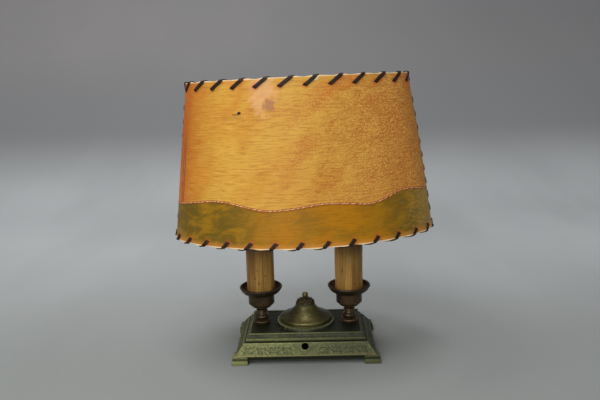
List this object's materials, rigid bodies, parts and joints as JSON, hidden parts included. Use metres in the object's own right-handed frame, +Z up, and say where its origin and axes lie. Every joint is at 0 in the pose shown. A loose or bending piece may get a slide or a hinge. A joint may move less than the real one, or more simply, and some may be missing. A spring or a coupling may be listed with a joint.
{
  "type": "two-light candle table lamp",
  "caption": "Table lamp with a cast footed base, two candle arms and an oval laced parchment shade clipped to the bulbs.",
  "frame": {"origin": "middle of the base, on the plane that its feet stand on", "axes": "+Z up, -Y towards the front, +X to the right of someone facing the front"},
  "size_m": [0.2893, 0.2159, 0.317],
  "materials": {
    "patinated_casting": "cast, green-brown patina, satin",
    "painted_sheet": "black japanned sheet",
    "plated_steel": "dull plated",
    "fibre_bushing": "vulcanised fibre",
    "dome_brass": "aged, olive-gold",
    "dark_bronze": "dark bronze finish, rubbed",
    "socket_insulator": "moulded phenolic",
    "socket_brass": "bright brass",
    "candle_sleeve": "aged waxed card",
    "lead_cloth": "woven cotton over rubber",
    "splice_tape": "black friction tape",
    "bulb_cap": "plain",
    "bulb_glass": "frosted inside",
    "filament_wire": "wire",
    "clip_wire": "tarnished spring wire",
    "frame_wire": "brass-coloured lacquer on wire",
    "parchment": "painted and varnished parchment",
    "lace": "flat dark lace"
  },
  "bodies": {
    "lamp": {"base_casting": "patinated_casting", "bottom_cover": "painted_sheet", "bottom_cover_screws": "plated_steel", "cord_bushing": "fibre_bushing", "dome_cover": "dome_brass", "dome_crown": "dome_brass", "dome_rod": "plated_steel", "dome_rod_nuts": "plated_steel", "left_stem": "dark_bronze", "right_stem": "dark_bronze", "left_cup": "dark_bronze", "right_cup": "dark_bronze", "left_nipple": "plated_steel", "right_nipple": "plated_steel", "left_washers": "plated_steel", "right_washers": "plated_steel", "left_locknuts": "plated_steel", "right_locknuts": "plated_steel", "left_socket_bracket": "plated_steel", "right_socket_bracket": "plated_steel", "left_socket_body": "socket_insulator", "right_socket_body": "socket_insulator", "left_screw_shell": "socket_brass", "right_screw_shell": "socket_brass", "left_centre_contact": "socket_brass", "right_centre_contact": "socket_brass", "left_leads": "lead_cloth", "right_leads": "lead_cloth", "line_splice": "splice_tape", "neutral_splice": "splice_tape"},
    "left_bulb": {"left_bulb_cap": "bulb_cap", "left_bulb_glass": "bulb_glass", "left_filament_mount": "filament_wire"},
    "right_bulb": {"right_bulb_cap": "bulb_cap", "right_bulb_glass": "bulb_glass", "right_filament_mount": "filament_wire"},
    "left_candle_sleeve": {"left_sleeve": "candle_sleeve"},
    "right_candle_sleeve": {"right_sleeve": "candle_sleeve"},
    "finial": {"ball_finial": "dome_brass"},
    "bulb_clips": {"left_bulb_clip": "clip_wire", "right_bulb_clip": "clip_wire"},
    "shade": {"shade_crossbar": "frame_wire", "shade_top_ring": "frame_wire", "shade_bottom_ring": "frame_wire", "shade_left_rib": "frame_wire", "shade_right_rib": "frame_wire", "shade_front_panel": "parchment", "shade_back_panel": "parchment", "top_lacing": "lace", "bottom_lacing": "lace", "left_seam_lacing": "lace", "right_seam_lacing": "lace"}
  },
  "joints": [
    {"name": "left_bulb_turn", "type": "hinge", "parent": "lamp", "child": "left_bulb", "pos_m": [-0.051, 0, 0.17], "axis": [0, 0, 1], "continuous": true},
    {"name": "right_bulb_turn", "type": "hinge", "parent": "lamp", "child": "right_bulb", "pos_m": [0.051, 0, 0.17], "axis": [0, 0, 1], "continuous": true},
    {"name": "left_sleeve_lift", "type": "slide", "parent": "lamp", "child": "left_candle_sleeve", "axis": [0, 0, 1], "range_m": [0, 0.011]},
    {"name": "right_sleeve_lift", "type": "slide", "parent": "lamp", "child": "right_candle_sleeve", "axis": [0, 0, 1], "range_m": [0, 0.011]},
    {"name": "finial_turn", "type": "hinge", "parent": "lamp", "child": "finial", "pos_m": [0, 0, 0.06], "axis": [0, 0, 1], "continuous": true},
    {"name": "shade_lift", "type": "slide", "parent": "lamp", "child": "bulb_clips", "axis": [0, 0, 1], "range_m": [0, 0.13]},
    {"name": "shade_tilt", "type": "hinge", "parent": "bulb_clips", "child": "shade", "pos_m": [-0.0022, 0.0032, 0.2646], "axis": [0.9997, 0, 0.0234], "range_deg": [-12.9, 17.1]}
  ]
}
